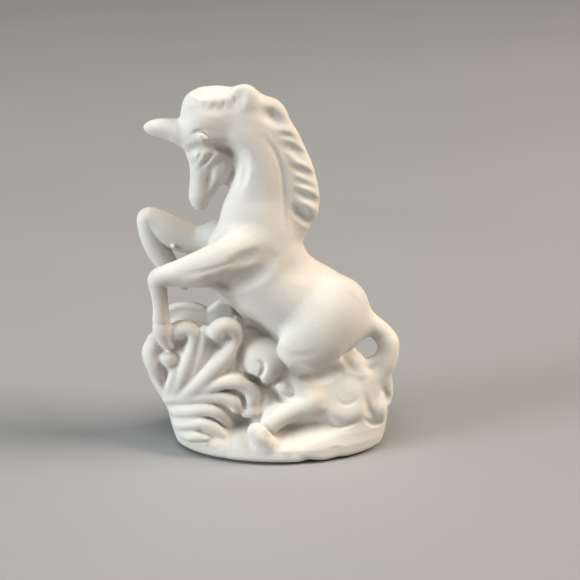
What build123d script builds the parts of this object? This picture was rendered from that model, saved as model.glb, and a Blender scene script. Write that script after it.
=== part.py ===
"""Rearing unicorn ornament in unglazed slip-cast porcelain, as the set of castings that are luted together.

Frame: millimetres, +Z up, origin on the standing surface under the middle of the part's box.
The animal faces -X, its left side faces -Y.
Hollow castings (mound, scroll wall, body, neck) have a drained wall; limbs, tail, horn, mane and the
applied scroll sprigs are solid-cast. Each piece is trimmed to its neighbour, so they meet face to face.
"""

from build123d import *
import math
import os

# ---------------------------------------------------------------- driving dimensions (mm)
WALL = 2.6                    # cast wall of the hollow pieces
BASE_CX = 2.4                 # middle of the mound in X
BASE_TOP = 9.0                # height of the seam between mound and scroll wall
# mound: (z, half length in X, half depth in Y)
MOUND = [(0.0, 24.6, 14.8), (1.2, 25.2, 15.0), (3.5, 25.7, 14.5), (6.0, 26.0, 12.9), (BASE_TOP, 26.0, 10.6)]
DRAIN_D = 7.0                 # slip drain in the underside
THROAT_D = 6.0                # opening from the mound into the scroll wall
VENT_D = 3.0                  # vent from the body into the scroll wall
VENT_X = 6.5
WALL_HALF_BOTTOM = 8.4        # half thickness of the scroll wall at the mound
WALL_HALF_TOP = 5.6           # and at its top edge
WALL_TOP = 34.0
WALL_PLAN = (31.0, 11.0)      # plan ellipse that rounds the wall's two ends
NOSE = 0.45                   # closing section of a tapered form, as a share of the last station

# ---------------------------------------------------------------- stations: (x, y, z, half width, half depth)
BODY = [
    (-7.4, 0, 47.8, 4.6, 4.6), (-5.2, 0, 45.9, 8.4, 7.0), (-1.5, 0, 42.4, 10.7, 8.6), (3.3, 0, 36.9, 10.4, 9.2),
    (8.1, 0, 34.2, 10.2, 9.4), (13.2, 0, 31.9, 9.4, 9.2), (17.9, 0, 28.9, 7.4, 7.6), (20.6, 0, 27.3, 4.6, 4.8),
]
BODY_ENDS = ((-8.7, 0, 49.2), (22.4, 0, 26.2))
NECK = [
    (-1.0, 0, 46.5, 9.4, 7.3), (-1.7, 0, 50.0, 9.2, 7.1), (-2.3, 0, 55.5, 8.0, 6.2), (-2.3, 0, 61.4, 7.1, 5.5),
    (-2.8, 0, 67.1, 6.8, 5.2), (-4.2, 0, 72.8, 6.7, 4.9), (-6.3, 0, 77.4, 5.4, 4.3), (-7.9, 0, 80.4, 3.4, 3.0),
]
NECK_ENDS = ((-0.5, 0, 43.0), (-8.9, 0, 82.4))
HEAD = [
    (-10.6, 0, 82.2, 3.2, 2.8), (-11.7, 0, 78.6, 5.5, 4.5), (-13.2, 0, 73.6, 5.2, 4.7), (-13.3, 0, 69.4, 4.9, 4.2),
    (-14.1, 0, 65.5, 3.8, 3.4), (-14.9, 0, 61.9, 2.9, 2.8), (-15.2, 0, 59.4, 1.9, 2.0),
]
HEAD_ENDS = ((-9.8, 0, 83.9), (-15.1, 0, 57.4))
HORN = [(-15.6, 0, 73.9, 3.5), (-18.5, 0, 74.4, 3.2), (-23.6, 0, 75.3, 2.2), (-26.0, 0, 75.4, 1.5), (-27.1, 0, 75.5, 0.8)]
HORN_TIP = (-27.7, 0, 75.6)
EAR = [(-5.2, -2.6, 80.2, 1.5, 1.2), (-5.4, -3.1, 82.2, 1.9, 1.2), (-5.6, -3.3, 83.9, 1.3, 0.9)]
EAR_ENDS = ((-5.1, -2.0, 78.6), (-5.7, -3.4, 85.1))
FORELOCK = ((-11.8, 0.0, 83.2), (4.4, 3.7, 2.0))            # centre, half sizes
MANE = [
    (-2.6, 0, 81.4, 2.3, 2.2), (0.4, 0, 79.6, 3.2, 2.5), (2.9, 0, 76.6, 3.5, 2.6), (4.9, 0, 72.8, 3.5, 2.6),
    (6.3, 0, 69.2, 3.6, 2.6), (7.3, 0, 65.7, 3.8, 2.6), (7.8, 0, 62.1, 3.9, 2.6), (7.8, 0, 58.4, 3.9, 2.6),
    (7.3, 0, 55.2, 3.3, 2.4),
]
MANE_ENDS = ((-3.6, 0, 83.2), (7.0, 0, 52.6))

# limbs: (x, y, z, radius), each as an upper and a lower run that meet in the joint
FORE_L = [[(-2.6, -5.4, 50.6, 4.0), (-5.5, -6.2, 48.6, 4.7), (-9.2, -6.8, 46.6, 4.6), (-14.0, -7.2, 45.5, 4.2),
           (-19.6, -7.2, 44.3, 3.2), (-24.0, -7.2, 43.1, 2.8)],
          [(-24.1, -7.2, 43.0, 2.6), (-24.2, -7.2, 40.0, 2.05), (-24.2, -7.2, 36.6, 1.75), (-24.2, -7.2, 33.6, 2.0),
           (-23.9, -7.2, 30.9, 2.3), (-23.3, -7.2, 28.6, 2.3)]]
FORE_R = [[(-3.6, 5.4, 49.6, 4.0), (-7.0, 6.0, 48.2, 4.6), (-11.0, 6.6, 47.5, 4.3), (-15.5, 7.2, 47.4, 3.8),
           (-19.0, 7.5, 47.7, 3.7), (-23.2, 7.5, 49.6, 3.5), (-27.0, 7.5, 51.8, 3.0)],
          [(-27.2, 7.5, 51.6, 2.9), (-26.5, 7.5, 47.8, 2.7), (-25.2, 7.5, 43.7, 2.5), (-23.2, 7.5, 40.0, 2.2),
           (-20.9, 7.5, 37.4, 1.8)]]
HIND_L = [[(15.6, -4.4, 32.6, 5.4, 4.2), (13.4, -6.0, 30.6, 7.2, 4.8), (11.0, -6.8, 27.4, 7.9, 4.9),
           (8.7, -7.6, 22.6, 5.3, 4.6), (8.8, -8.5, 17.6, 3.8, 3.8), (9.9, -9.0, 14.1, 3.2, 3.2)],
          [(9.9, -9.0, 14.0, 3.2), (5.2, -9.8, 11.6, 2.9), (1.2, -10.4, 9.2, 2.6), (-0.8, -10.8, 6.9, 2.5)]]
HIND_R = [[(15.9, 4.4, 32.6, 5.4, 4.2), (14.0, 6.0, 30.6, 7.2, 4.8), (11.9, 6.8, 27.4, 7.9, 4.9),
           (10.2, 7.6, 22.6, 5.3, 4.6), (10.6, 8.5, 17.6, 3.8, 3.8), (11.8, 9.0, 14.1, 3.2, 3.2)],
          [(11.8, 9.0, 14.0, 3.2), (7.2, 9.8, 11.6, 2.9), (3.2, 10.4, 9.2, 2.6), (1.2, 10.8, 6.9, 2.5)]]
TAIL = [(19.4, 0, 31.6, 2.6), (22.6, 0, 31.6, 2.8), (25.3, 0, 29.9, 2.7), (27.1, 0, 26.6, 2.6), (27.7, 0, 22.8, 2.5),
        (27.7, -0.5, 19.0, 2.2), (27.5, -1.2, 15.4, 1.9), (27.6, -2.2, 12.0, 1.9), (27.0, -3.4, 9.4, 1.7)]

# scroll wall outline, seen from the left side (x, z), and the cavity inside it
WALL_OUT = [
    (-24.2, BASE_TOP), (-24.5, 10.8), (-25.8, 12.9), (-27.6, 15.7), (-29.1, 18.8), (-29.9, 21.6), (-29.0, 24.4),
    (-26.6, 26.6), (-24.2, 29.6), (-22.2, 32.4), (-19.6, 33.6), (-17.0, 32.7), (-14.6, 31.9), (-12.6, 32.8),
    (-10.4, 33.8), (-7.0, 36.0), (0.0, 35.0), (8.0, 31.0), (16.0, 26.0), (19.4, 22.9), (21.4, 21.2), (23.2, 19.7),
    (24.9, 19.9), (26.0, 17.4), (26.2, 13.0), (26.2, BASE_TOP),
]
WALL_IN = [
    (-20.6, BASE_TOP - 1), (-21.6, 12.6), (-24.4, 17.2), (-26.0, 20.8), (-23.4, 24.0), (-20.2, 29.0), (-14.6, 28.2),
    (-11.0, 27.6), (-6.0, 23.6), (0.0, 20.8), (10.0, 20.0), (18.0, 18.2), (22.4, 15.6), (22.6, BASE_TOP - 1),
]

# applied scrolls on the left face; the right face carries the same set mirrored
FAN = [
    [(-22.0, -5.8, 14.5, 0.9), (-20.0, -6.3, 18.2, 1.3), (-18.0, -6.8, 22.4, 1.5), (-17.0, -7.0, 26.2, 1.5),
     (-16.9, -7.0, 29.2, 1.5), (-18.2, -6.7, 31.2, 1.5), (-20.0, -6.3, 31.2, 1.4)],
    [(-19.6, -6.3, 14.7, 0.9), (-15.1, -7.2, 18.6, 1.3), (-11.1, -7.7, 22.6, 1.5), (-8.6, -8.0, 26.4, 1.6),
     (-8.1, -8.0, 29.6, 1.6), (-9.4, -7.9, 31.8, 1.6), (-11.4, -7.7, 32.2, 1.5)],
    [(-18.6, -6.4, 17.6, 0.6), (-16.9, -6.8, 20.4, 0.8), (-15.0, -7.2, 24.0, 0.95), (-13.9, -7.4, 27.4, 0.9)],
    [(-27.2, -3.7, 25.2, 1.1), (-27.9, -3.3, 22.7, 1.6), (-26.6, -4.1, 19.5, 1.4), (-25.0, -5.0, 16.4, 0.8)],
    [(-23.3, -5.5, 24.2, 1.2), (-23.4, -5.5, 22.7, 1.6), (-23.4, -5.6, 19.9, 1.05), (-23.3, -5.7, 17.2, 0.6)],
]
WAVES = [
    [(-17.6, -7.2, 15.2, 0.7), (-14.4, -7.8, 17.0, 1.1), (-11.1, -8.3, 18.6, 1.3), (-7.4, -8.7, 18.9, 1.5),
     (-4.7, -8.9, 17.3, 1.5), (-3.6, -8.9, 15.2, 1.4)],
    [(-22.0, -6.5, 12.3, 0.6), (-17.0, -7.8, 13.7, 0.9), (-12.3, -8.7, 15.0, 1.05), (-8.9, -9.1, 14.4, 1.15),
     (-6.9, -9.3, 12.6, 1.1)],
    [(-22.0, -6.9, 10.3, 0.8), (-17.0, -8.3, 11.3, 0.95), (-13.1, -9.1, 11.6, 1.0), (-10.6, -9.5, 10.6, 1.1)],
    [(-21.6, -7.6, 7.8, 0.85), (-17.0, -9.0, 8.7, 1.0), (-13.3, -9.8, 8.7, 1.1), (-10.7, -10.2, 7.3, 1.0)],
    [(-19.4, -9.3, 5.6, 0.75), (-16.1, -10.3, 6.0, 0.9), (-13.4, -11.0, 5.1, 0.8)],
]
CURL = [
    [(-4.0, -7.4, 28.0, 1.6), (-4.4, -7.5, 25.4, 2.4), (-3.6, -7.5, 22.5, 2.0)],
    [(-0.6, -7.6, 27.2, 1.3), (1.0, -7.8, 25.2, 1.5), (1.3, -7.9, 22.4, 1.5), (0.2, -7.9, 19.6, 1.4)],
]
TAIL_SCROLLS = [
    [(16.6, -7.2, 16.6, 2.0), (18.0, -7.3, 15.6, 2.6), (19.4, -7.2, 14.6, 2.0)],
    [(14.2, -8.6, 12.8, 1.1), (15.4, -8.6, 10.9, 1.3), (18.1, -8.2, 9.8, 1.4), (21.3, -7.5, 10.7, 1.2)],
]


# ---------------------------------------------------------------- helpers
def tangents(pts):
    """Unit direction of the run at each station, from its neighbours."""
    out = []
    for i in range(len(pts)):
        a, b = pts[max(i - 1, 0)], pts[min(i + 1, len(pts) - 1)]
        out.append(Vector(b[0] - a[0], b[1] - a[1], b[2] - a[2]).normalized())
    return out


def section(p, t, half_w, half_d):
    """Ellipse across the run: half_w in the animal's own plane, half_d to its sides."""
    side = Vector(0, 1, 0) - t * t.Y
    side = side.normalized()
    across = side.cross(t).normalized()
    return Plane(origin=Vector(*p), x_dir=across, z_dir=t) * Ellipse(half_w, half_d)


def through(stations, start=None, end=None):
    """Smooth solid through elliptical stations; a given end closes it to a small nose."""
    full = [(s[0], s[1], s[2], s[3], s[4] if len(s) > 4 else s[3]) for s in stations]
    ts = tangents([s[:3] for s in full])
    if start is not None:
        full.insert(0, (*start, NOSE * full[0][3], NOSE * full[0][4]))
        ts.insert(0, ts[0])
    if end is not None:
        full.append((*end, NOSE * full[-1][3], NOSE * full[-1][4]))
        ts.append(ts[-1])
    return loft([section(s[:3], t, s[3], s[4]).face() for s, t in zip(full, ts)])


def run(stations):
    """Run through (x, y, z, radius) or (x, y, z, half width, half depth) stations with rounded ends."""
    full = [(s[0], s[1], s[2], s[3], s[4] if len(s) > 4 else s[3]) for s in stations]
    ts = tangents([s[:3] for s in full])
    before, after = [], []
    for out, shrink in ((0.93, 0.40), (0.60, 0.80)):
        a = Vector(*full[0][:3]) - ts[0] * (out * min(full[0][3:]))
        before.append((a.X, a.Y, a.Z, shrink * full[0][3], shrink * full[0][4]))
        b = Vector(*full[-1][:3]) + ts[-1] * (out * min(full[-1][3:]))
        after.insert(0, (b.X, b.Y, b.Z, shrink * full[-1][3], shrink * full[-1][4]))
    ts = [ts[0]] * 2 + ts + [ts[-1]] * 2
    return loft([section(s[:3], t, s[3], s[4]).face() for s, t in zip(before + full + after, ts)])


def limb(runs):
    made = run(runs[0])
    for r in runs[1:]:
        made = made + run(r)
    return made


def inset(stations, by, first=0, last=None):
    return [(s[0], s[1], s[2], s[3] - by, (s[4] if len(s) > 4 else s[3]) - by) for s in stations[first:last]]


def trim(piece, *others):
    for o in others:
        if o is None:
            continue
        piece = piece - o
    return piece


def whole(shape, least=0.02):
    """The pieces of a trimmed shape that are real, as one compound; crumbs below `least` mm3 go."""
    solids = [s for s in shape.solids() if s.volume > least]
    return solids[0] if len(solids) == 1 else Compound(children=solids)


def biggest(shape):
    return max(shape.solids(), key=lambda s: s.volume)


# ---------------------------------------------------------------- raw forms
mound_raw = loft([(Plane.XY.offset(z) * Pos(BASE_CX, 0) * Ellipse(a, b)).face() for z, a, b in MOUND])

outline = make_face(Plane.XZ * Polyline(*WALL_OUT, close=True))
slab = extrude(outline, amount=14, both=True)
taper = make_face(Plane.YZ * Polyline(
    (-WALL_HALF_BOTTOM, BASE_TOP), (WALL_HALF_BOTTOM, BASE_TOP), (WALL_HALF_TOP, WALL_TOP + 4),
    (-WALL_HALF_TOP, WALL_TOP + 4), close=True))
wedge = extrude(taper, amount=40, both=True)
plan = extrude(Plane.XY * Ellipse(*WALL_PLAN), amount=60)
wall_raw = slab & wedge & plan

body_raw = through(BODY, *BODY_ENDS)
neck_raw = through(NECK, *NECK_ENDS)
head_raw = through(HEAD, *HEAD_ENDS)
neck_head_raw = neck_raw + head_raw
horn_raw = through(HORN, None, HORN_TIP)
ear_l_raw = through(EAR, *EAR_ENDS)
ear_r_raw = mirror(ear_l_raw, about=Plane.XZ)
mane_raw = through(MANE, *MANE_ENDS)
forelock_raw = Pos(*FORELOCK[0]) * scale(Sphere(1.0), by=FORELOCK[1])
fore_l_raw, fore_r_raw = limb(FORE_L), limb(FORE_R)
hind_l_raw, hind_r_raw = limb(HIND_L), limb(HIND_R)
tail_raw = run(TAIL)

# ---------------------------------------------------------------- cavities and drains
mound_void = loft([(Plane.XY.offset(z) * Pos(BASE_CX, 0) * Ellipse(a - WALL, b - WALL)).face()
                   for z, a, b in [(WALL, 25.4, 14.4), (4.4, 25.4, 13.2), (BASE_TOP - WALL, 25.0, 11.2)]])
drain = Pos(BASE_CX, 0, -1) * Cylinder(DRAIN_D / 2, 6, align=(Align.CENTER, Align.CENTER, Align.MIN))
throat = Pos(BASE_CX, 0, BASE_TOP - 4) * Cylinder(THROAT_D / 2, 8, align=(Align.CENTER, Align.CENTER, Align.MIN))
wall_void = extrude(make_face(Plane.XZ * Polyline(*WALL_IN, close=True)), amount=WALL_HALF_TOP - WALL + 0.6, both=True)
wall_void = wall_void & (Pos(0, 0, BASE_TOP + WALL) * Box(80, 40, 60, align=(Align.CENTER, Align.CENTER, Align.MIN)))
body_in = inset(BODY, WALL, 1, 7)
body_void = through(body_in, (-6.2, 0, 46.9), (18.8, 0, 28.4))
neck_in = inset(NECK, WALL, 0, 6)
neck_void = through(neck_in, None, (-5.4, 0, 75.6))
vent = Pos(VENT_X, 0, 16.0) * Cylinder(VENT_D / 2, 15.0, align=(Align.CENTER, Align.CENTER, Align.MIN))

# ---------------------------------------------------------------- pieces, trimmed to what they are luted to
nodes = {}
nodes["base_mound"] = biggest(trim(mound_raw, mound_void, drain, throat))
nodes["scroll_wall"] = biggest(trim(wall_raw, body_raw, fore_l_raw, neck_raw, wall_void, throat, vent))
nodes["body_shell"] = biggest(trim(body_raw, body_void, neck_void, vent))
nodes["neck_and_head"] = biggest(trim(neck_head_raw, body_raw, neck_void))
nodes["horn"] = biggest(trim(horn_raw, neck_head_raw))
nodes["mane"] = biggest(trim(mane_raw, neck_head_raw, body_raw))
ears = [biggest(trim(e, neck_head_raw, mane_raw)) for e in (ear_l_raw, ear_r_raw)]
nodes["ears"] = Compound(children=ears)
nodes["forelock"] = biggest(trim(forelock_raw, neck_head_raw, ear_l_raw, ear_r_raw, mane_raw, horn_raw))
nodes["left_foreleg"] = biggest(trim(fore_l_raw, body_raw, neck_head_raw))
nodes["right_foreleg"] = biggest(trim(fore_r_raw, body_raw, neck_head_raw))
nodes["left_hind_leg"] = biggest(trim(hind_l_raw, body_raw, wall_raw, mound_raw))
nodes["right_hind_leg"] = biggest(trim(hind_r_raw, body_raw, wall_raw, mound_raw))
nodes["tail"] = biggest(trim(tail_raw, body_raw, wall_raw, mound_raw))


def sprig(runs, *neighbours):
    """Applied scrolls: separate runs, each trimmed flat to the face it is luted on and clear of the next."""
    made, raws = [], []
    for r in runs:
        raw = run(r)
        piece = trim(raw, wall_raw, mound_raw, body_raw, *neighbours, *raws)
        got = [s for s in piece.solids() if s.volume > 0.5]
        if got:
            made.append(max(got, key=lambda s: s.volume))
        raws.append(raw)
    return made, raws


def flip(runs):
    return [[(x, -y, z, r) for x, y, z, r in one] for one in runs]


for hand, limbs in (("left", [fore_l_raw, hind_l_raw]), ("right", [fore_r_raw, hind_r_raw])):
    used = list(limbs)
    for label, runs in (("scroll_fan", FAN), ("wave_scrolls", WAVES), ("centre_curl", CURL),
                        ("tail_scrolls", TAIL_SCROLLS)):
        solids, raws = sprig(runs if hand == "left" else flip(runs), *used)
        nodes[f"{hand}_{label}"] = Compound(children=solids)
        used += raws

os.makedirs("parts", exist_ok=True)
for name, shape in nodes.items():
    export_step(shape, f"parts/{name}.step")
    box = shape.bounding_box()
    print(f"{name:20s} solids {len(shape.solids())} volume {shape.volume:8.1f}  "
          f"x {box.min.X:6.1f} {box.max.X:6.1f}  y {box.min.Y:6.1f} {box.max.Y:6.1f}  z {box.min.Z:6.1f} {box.max.Z:6.1f}")
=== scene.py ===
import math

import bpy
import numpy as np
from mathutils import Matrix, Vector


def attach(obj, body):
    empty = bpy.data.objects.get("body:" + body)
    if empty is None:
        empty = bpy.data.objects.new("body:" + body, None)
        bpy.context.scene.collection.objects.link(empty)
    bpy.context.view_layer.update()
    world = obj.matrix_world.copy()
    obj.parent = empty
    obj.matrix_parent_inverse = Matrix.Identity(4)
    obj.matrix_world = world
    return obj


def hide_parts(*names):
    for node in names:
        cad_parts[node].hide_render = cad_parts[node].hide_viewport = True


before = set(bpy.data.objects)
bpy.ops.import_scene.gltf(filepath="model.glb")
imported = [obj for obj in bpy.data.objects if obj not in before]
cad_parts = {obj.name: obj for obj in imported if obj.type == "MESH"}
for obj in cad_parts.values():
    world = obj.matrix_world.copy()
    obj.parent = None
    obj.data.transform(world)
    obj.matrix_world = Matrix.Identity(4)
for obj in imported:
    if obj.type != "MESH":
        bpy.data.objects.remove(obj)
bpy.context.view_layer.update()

# Looks of the rearing unicorn ornament: sculpted castings in unglazed white porcelain on a scroll base.
# Every casting is modelled as a distance field in millimetres (runs of varying thickness, ellipsoids, modelling
# strokes), all fields are joined with soft fillets as luted clay is, and each casting is then meshed as its own
# closed piece that meets its neighbours in a seam.

# ------------------------------------------------------------------ view of the photograph (580 x 580), millimetres
FOCAL = 1400.0
ELEV = math.radians(20.0)
DIST = 322.0
AIM = np.array([4.9, 0.0, 37.5])
CE, SE = math.cos(ELEV), math.sin(ELEV)
EYE = AIM + DIST * np.array([0.0, -CE, SE])


def unproject(u, v, y):
    """Point at depth y that is seen at picture point (u, v), and the millimetres per picture point there."""
    a, b = (u - 290.0) / FOCAL, (290.0 - v) / FOCAL
    t = (y - EYE[1]) / (CE + SE * b)
    return np.array([EYE[0] + t * a, y, EYE[2] + t * (-SE + CE * b)]), t / FOCAL


def project(x, y, z):
    dx, dy, dz = x - EYE[0], y - EYE[1], z - EYE[2]
    depth = dy * CE - dz * SE
    return 290.0 + FOCAL * dx / depth, 290.0 - FOCAL * (dy * SE + dz * CE) / depth


# ------------------------------------------------------------------ fields on a lattice
FAR = 6.0
BAND = 3.2


class Lattice:
    def __init__(self, lo, hi, h):
        self.h = h
        self.first = np.floor(np.asarray(lo, float) / h).astype(int)
        last = np.ceil(np.asarray(hi, float) / h).astype(int)
        self.n = tuple(int(v) for v in (last - self.first + 1))
        self.lo = self.first * h
        self.hi = last * h
        self.axes = [((self.first[i] + np.arange(self.n[i])) * h).astype(np.float32) for i in range(3)]

    def window(self, lo, hi):
        out = []
        for i in range(3):
            a = max(0, int(math.floor((lo[i] - self.lo[i]) / self.h)))
            b = min(self.n[i], int(math.ceil((hi[i] - self.lo[i]) / self.h)) + 1)
            if b <= a:
                return None
            out.append(slice(a, b))
        return tuple(out)

    def grid(self, w):
        return (self.axes[0][w[0]][:, None, None], self.axes[1][w[1]][None, :, None], self.axes[2][w[2]][None, None, :])


def soft_min(a, b, k):
    if k <= 0:
        return np.minimum(a, b)
    h = np.maximum(k - np.abs(a - b), 0.0) / k
    return np.minimum(a, b) - h * h * (0.25 * k)


def soft_max(a, b, k):
    return -soft_min(-a, -b, k)


def smooth_path(pts, step):
    """Catmull-Rom through the points, resampled about every `step` along the first coordinates."""
    p = np.asarray(pts, float)
    if len(p) == 1:
        return np.vstack([p, p + 1e-4])
    if len(p) == 2:
        n = max(1, int(np.linalg.norm(p[1, :2] - p[0, :2]) / step))
        t = np.linspace(0, 1, n + 1)[:, None]
        return p[0] * (1 - t) + p[1] * t
    q = np.vstack([2 * p[0] - p[1], p, 2 * p[-1] - p[-2]])
    out = []
    for i in range(1, len(q) - 2):
        n = max(2, int(math.ceil(np.linalg.norm(q[i + 1, :3] - q[i, :3]) / step)))
        t = np.linspace(0, 1, n, endpoint=False)[:, None]
        a, b, c, d = q[i - 1], q[i], q[i + 1], q[i + 2]
        out.append(0.5 * (2 * b + (c - a) * t + (2 * a - 5 * b + 4 * c - d) * t ** 2 + (3 * b - a - 3 * c + d) * t ** 3))
    out.append(q[-2][None])
    return np.vstack(out)


class Tube:
    """Run through (x, y, z, radius, depth ratio) points: round seen from the side, flattened or deepened in Y."""

    def __init__(self, pts, step=0.55):
        self.pts = smooth_path(pts, step)
        self.pts[:, 3] = np.maximum(self.pts[:, 3], 0.05)

    def box(self):
        r = self.pts[:, 3:4] * np.maximum(1.0, self.pts[:, 4:5])
        return (self.pts[:, :3] - r).min(0), (self.pts[:, :3] + r).max(0)

    def field(self, lat):
        f = np.full(lat.n, FAR, np.float32)
        for a, b in zip(self.pts[:-1], self.pts[1:]):
            reach = max(a[3] * max(1, a[4]), b[3] * max(1, b[4])) + BAND
            w = lat.window(np.minimum(a[:3], b[:3]) - reach, np.maximum(a[:3], b[:3]) + reach)
            if w is None:
                continue
            x, y, z = lat.grid(w)
            s = 2.0 / (a[4] + b[4])
            e = np.array([b[0] - a[0], (b[1] - a[1]) * s, b[2] - a[2]])
            dx, dy, dz = x - np.float32(a[0]), (y - np.float32(a[1])) * np.float32(s), z - np.float32(a[2])
            t = (dx * e[0] + dy * e[1] + dz * e[2]) / (e @ e + 1e-9)
            t = np.clip(t, 0, 1).astype(np.float32)
            px, py, pz = dx - t * e[0], dy - t * e[1], dz - t * e[2]
            d = np.sqrt(px * px + py * py + pz * pz)
            slope = np.sqrt(px * px + pz * pz + (py * np.float32(s)) ** 2) / np.maximum(d, 1e-4)
            d = (d - (a[3] + (b[3] - a[3]) * t)) / np.maximum(slope, 0.3)
            v = f[w]
            np.minimum(v, d, out=v)
        return f


class Ball:
    """Ellipsoid; turn is in degrees in the plane seen from the side."""

    def __init__(self, centre, radii, turn=0.0):
        self.c, self.r, self.a = np.asarray(centre, float), np.asarray(radii, float), math.radians(turn)

    def box(self):
        m = self.r.max()
        k = np.array([m, self.r[1], m]) if self.a else self.r
        return self.c - k, self.c + k

    def field(self, lat):
        f = np.full(lat.n, FAR, np.float32)
        lo, hi = self.box()
        w = lat.window(lo - BAND, hi + BAND)
        if w is None:
            return f
        x, y, z = lat.grid(w)
        x, y, z = x - np.float32(self.c[0]), y - np.float32(self.c[1]), z - np.float32(self.c[2])
        ca, sa = math.cos(self.a), math.sin(self.a)
        p, q = x * ca + z * sa, z * ca - x * sa
        rx, ry, rz = self.r
        k0 = np.sqrt((p / rx) ** 2 + (y / ry) ** 2 + (q / rz) ** 2)
        k1 = np.sqrt((p / rx ** 2) ** 2 + (y / ry ** 2) ** 2 + (q / rz ** 2) ** 2)
        f[w] = np.minimum(k0 * (k0 - 1.0) / np.maximum(k1, 1e-4), FAR)
        return f


class Stroke:
    """Modelling stroke along picture points (u, v, reach, height mm): raises or cuts the side that faces that way."""

    def __init__(self, pts, side=-1, clear=0.4):
        self.pts = smooth_path(pts, 2.5)
        self.side, self.clear = side, clear

    def apply(self, f, lat):
        for side in ((-1, 1) if self.side == 0 else (self.side,)):
            p = self.pts
            pad = p[:, 2].max() + 1
            ylo, yhi = lat.lo[1], lat.hi[1]
            if side > 0:
                ylo, yhi = -yhi, -ylo
            yhi = min(yhi, -self.clear + 0.8)
            if yhi <= ylo:
                continue
            c = np.array([unproject(u, v, y)[0] for u in (p[:, 0].min() - pad, p[:, 0].max() + pad)
                          for v in (p[:, 1].min() - pad, p[:, 1].max() + pad) for y in (ylo, yhi)])
            lo, hi = c.min(0), c.max(0)
            if side > 0:
                lo[1], hi[1] = -hi[1], -lo[1]
            w = lat.window(lo, hi)
            if w is None:
                continue
            x, y, z = lat.grid(w)
            yy = y if side < 0 else -y
            u, v = project(x, yy, z)
            best = np.zeros(np.broadcast_shapes(u.shape, v.shape), np.float32)
            for a, b in zip(p[:-1], p[1:]):
                e = b[:2] - a[:2]
                t = np.clip(((u - a[0]) * e[0] + (v - a[1]) * e[1]) / (e @ e + 1e-9), 0, 1)
                d2 = (u - a[0] - t * e[0]) ** 2 + (v - a[1] - t * e[1]) ** 2
                r = a[2] + (b[2] - a[2]) * t
                g = np.maximum(1.0 - d2 / (r * r), 0.0) ** 2 * (a[3] + (b[3] - a[3]) * t)
                best = np.where(np.abs(g) > np.abs(best), g, best)
            m = np.clip((-yy - self.clear) / 0.8 + 0.5, 0, 1)
            f[w] -= (best * (m * m * (3 - 2 * m))).astype(np.float32)
        return f


def polygon_distance(poly, x, z):
    """Signed distance of the (x, z) grid to a closed outline, negative inside."""
    p = np.asarray(poly, float)
    best = np.full(np.broadcast_shapes(x.shape, z.shape), 1e9)
    inside = np.zeros(best.shape, bool)
    for a, b in zip(p, np.roll(p, -1, axis=0)):
        e = b - a
        t = np.clip(((x - a[0]) * e[0] + (z - a[1]) * e[1]) / (e @ e + 1e-12), 0, 1)
        best = np.minimum(best, (x - a[0] - t * e[0]) ** 2 + (z - a[1] - t * e[1]) ** 2)
        if a[1] != b[1]:
            cut = ((a[1] > z) != (b[1] > z)) & (x < (b[0] - a[0]) * (z - a[1]) / (b[1] - a[1]) + a[0])
            inside ^= cut
    return np.where(inside, -1.0, 1.0) * np.sqrt(best)


# ------------------------------------------------------------------ the ground form of the base: mound and scroll wall
SEAM_Z = 9.0
DEPTH_Z = [0.0, 0.5, 1.4, 3.5, 6.0, 8.0, 10.0, 13.0, 18.0, 24.0, 28.0, 34.0]
DEPTH_B = [14.3, 14.8, 15.0, 14.5, 12.8, 10.9, 9.6, 8.8, 8.1, 7.5, 7.2, 7.0]
LONG_Z = [0.0, 0.5, 1.4, 3.5, 9.0, 13.0, 20.0, 28.0, 34.0]
LONG_A = [24.4, 24.9, 25.3, 25.9, 27.5, 29.5, 31.5, 31.0, 30.0]
LONG_C = [2.4, 2.4, 2.4, 2.4, 2.2, 0.8, -0.4, -0.4, -0.4]
OUTLINE = [
    (-21.9, 0.0), (-22.6, 0.8), (-23.2, 2.6), (-23.7, 5.1), (-24.0, 8.5), (-24.6, 10.9), (-25.8, 12.9), (-27.3, 15.6),
    (-28.6, 18.6), (-29.0, 21.0), (-28.2, 23.4), (-26.4, 24.2), (-23.4, 23.4), (-20.0, 23.0), (-14.5, 23.0), (-10.6, 25.0),
    (-7.6, 29.5), (0.0, 30.0), (8.0, 28.0), (15.0, 24.4), (18.6, 21.8), (20.6, 20.2), (22.8, 19.2), (25.0, 19.8),
    (26.6, 18.0), (27.4, 14.0), (28.0, 10.3), (28.1, 8.5), (28.0, 4.6), (27.6, 1.6), (26.6, 0.0),
]


SWELLS = [  # (x, z, reach x, reach z, mm): soft swells and hollows of the base's faces
    (15.5, 14.0, 8.0, 5.0, 1.5), (24.0, 12.5, 5.0, 5.5, 0.8), (-6.4, 7.2, 4.7, 2.5, -5.4), (0.6, 15.6, 3.6, 2.8, -1.4),
    (-1.0, 27.5, 6.5, 4.5, -3.8), (11.0, 5.5, 4.0, 2.0, 0.5),
    (-18.0, 8.5, 8.0, 4.5, 1.0), (-4.6, 18.0, 2.4, 5.0, -1.0), (17.5, 10.5, 8.0, 3.2, 1.2),
    (4.5, 6.9, 6.0, 1.8, -2.5), (12.0, 8.0, 4.2, 1.6, -1.5),
]


def half_depth(x, z):
    b = np.interp(z, DEPTH_Z, DEPTH_B)
    a = np.interp(z, LONG_Z, LONG_A)
    c = np.interp(z, LONG_Z, LONG_C)
    t = b * np.sqrt(np.maximum(1.0 - ((x - c) / a) ** 2, 0.02))
    for sx, sz, rx, rz, up in SWELLS:
        t = t + up * np.exp(-((x - sx) / rx) ** 2 - ((z - sz) / rz) ** 2)
    return t


def face(u, v):
    """Depth of the base's left face where picture point (u, v) falls on it."""
    y = -9.0
    for _ in range(40):
        p, _s = unproject(u, v, y)
        y += 0.5 * (-float(half_depth(p[0], p[2])) - y)
    return y


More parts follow.
